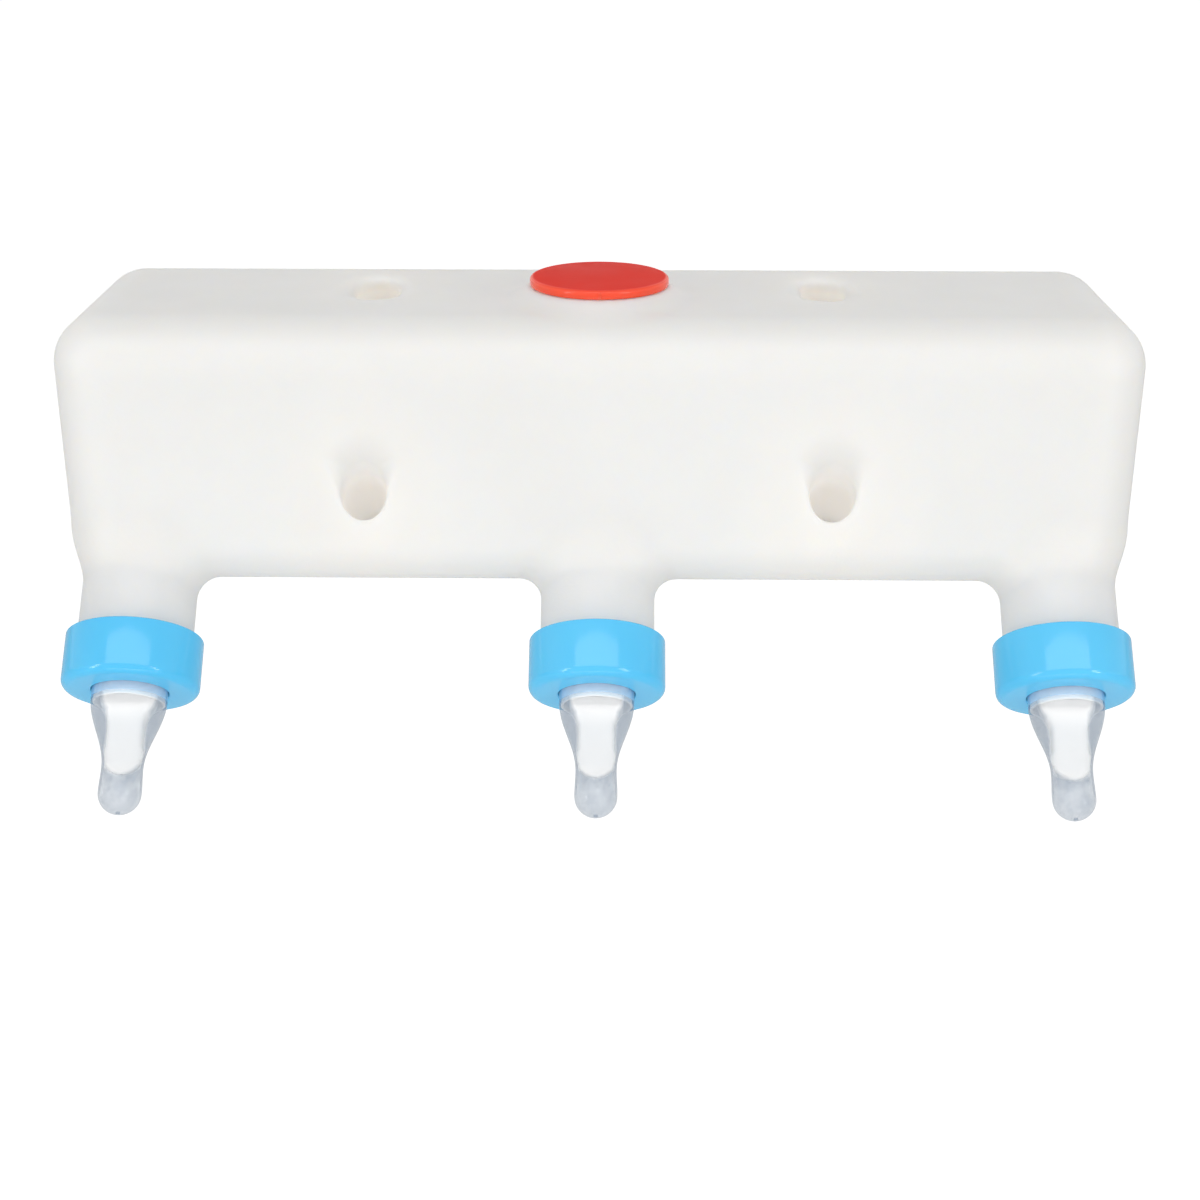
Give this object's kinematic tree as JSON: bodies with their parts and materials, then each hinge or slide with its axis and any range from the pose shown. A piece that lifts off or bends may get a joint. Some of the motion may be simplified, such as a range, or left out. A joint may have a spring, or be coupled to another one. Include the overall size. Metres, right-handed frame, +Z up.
{
  "type": "multi teat lamb feeder",
  "caption": "Long rounded-box milk tank to hang on a fence or wall, with a push-in filler plug and a row of downward necks whose screw caps hold soft teats with one-way valves.",
  "frame": {"origin": "centre of the tank's flat back face", "axes": "+X along the tank to the viewer's right when facing the teats, +Y out of the back face towards the wall, +Z up"},
  "size_m": [0.372, 0.1533, 0.1657],
  "materials": {
    "tank": "satin natural polyethylene, slightly translucent",
    "plug": "satin red soft plastic",
    "cap": "glossy light blue polypropylene",
    "teat": "clear silicone rubber",
    "valve": "smooth white silicone rubber"
  },
  "bodies": {
    "tank": {"tank": "tank"},
    "plug": {"filler_plug": "plug"},
    "left_teat_set": {"left_teat": "teat", "left_valve": "valve"},
    "left_cap": {"left_cap": "cap"},
    "centre_teat_set": {"centre_teat": "teat", "centre_valve": "valve"},
    "centre_cap": {"centre_cap": "cap"},
    "right_teat_set": {"right_teat": "teat", "right_valve": "valve"},
    "right_cap": {"right_cap": "cap"}
  },
  "joints": [
    {"name": "plug_lift", "type": "slide", "parent": "tank", "child": "plug", "axis": [0, 0, 1], "range_m": [0, 0.04]},
    {"name": "left_teat_draw", "type": "slide", "parent": "tank", "child": "left_teat_set", "axis": [0, -0.6691, -0.7431], "range_m": [0, 0.02]},
    {"name": "left_cap_turn", "type": "hinge", "parent": "left_teat_set", "child": "left_cap", "pos_m": [-0.16, -0.096, -0.0475], "axis": [0, -0.6691, -0.7431], "range_deg": [0, 1440]},
    {"name": "centre_teat_draw", "type": "slide", "parent": "tank", "child": "centre_teat_set", "axis": [0, -0.6691, -0.7431], "range_m": [0, 0.02]},
    {"name": "centre_cap_turn", "type": "hinge", "parent": "centre_teat_set", "child": "centre_cap", "pos_m": [0, -0.096, -0.0475], "axis": [0, -0.6691, -0.7431], "range_deg": [0, 1440]},
    {"name": "right_teat_draw", "type": "slide", "parent": "tank", "child": "right_teat_set", "axis": [0, -0.6691, -0.7431], "range_m": [0, 0.02]},
    {"name": "right_cap_turn", "type": "hinge", "parent": "right_teat_set", "child": "right_cap", "pos_m": [0.16, -0.096, -0.0475], "axis": [0, -0.6691, -0.7431], "range_deg": [0, 1440]}
  ],
  "couplings": [
    {"joint": "left_teat_draw", "follows": "left_cap_turn", "m_per_rad": 0.00079577},
    {"joint": "centre_teat_draw", "follows": "centre_cap_turn", "m_per_rad": 0.00079577},
    {"joint": "right_teat_draw", "follows": "right_cap_turn", "m_per_rad": 0.00079577}
  ]
}
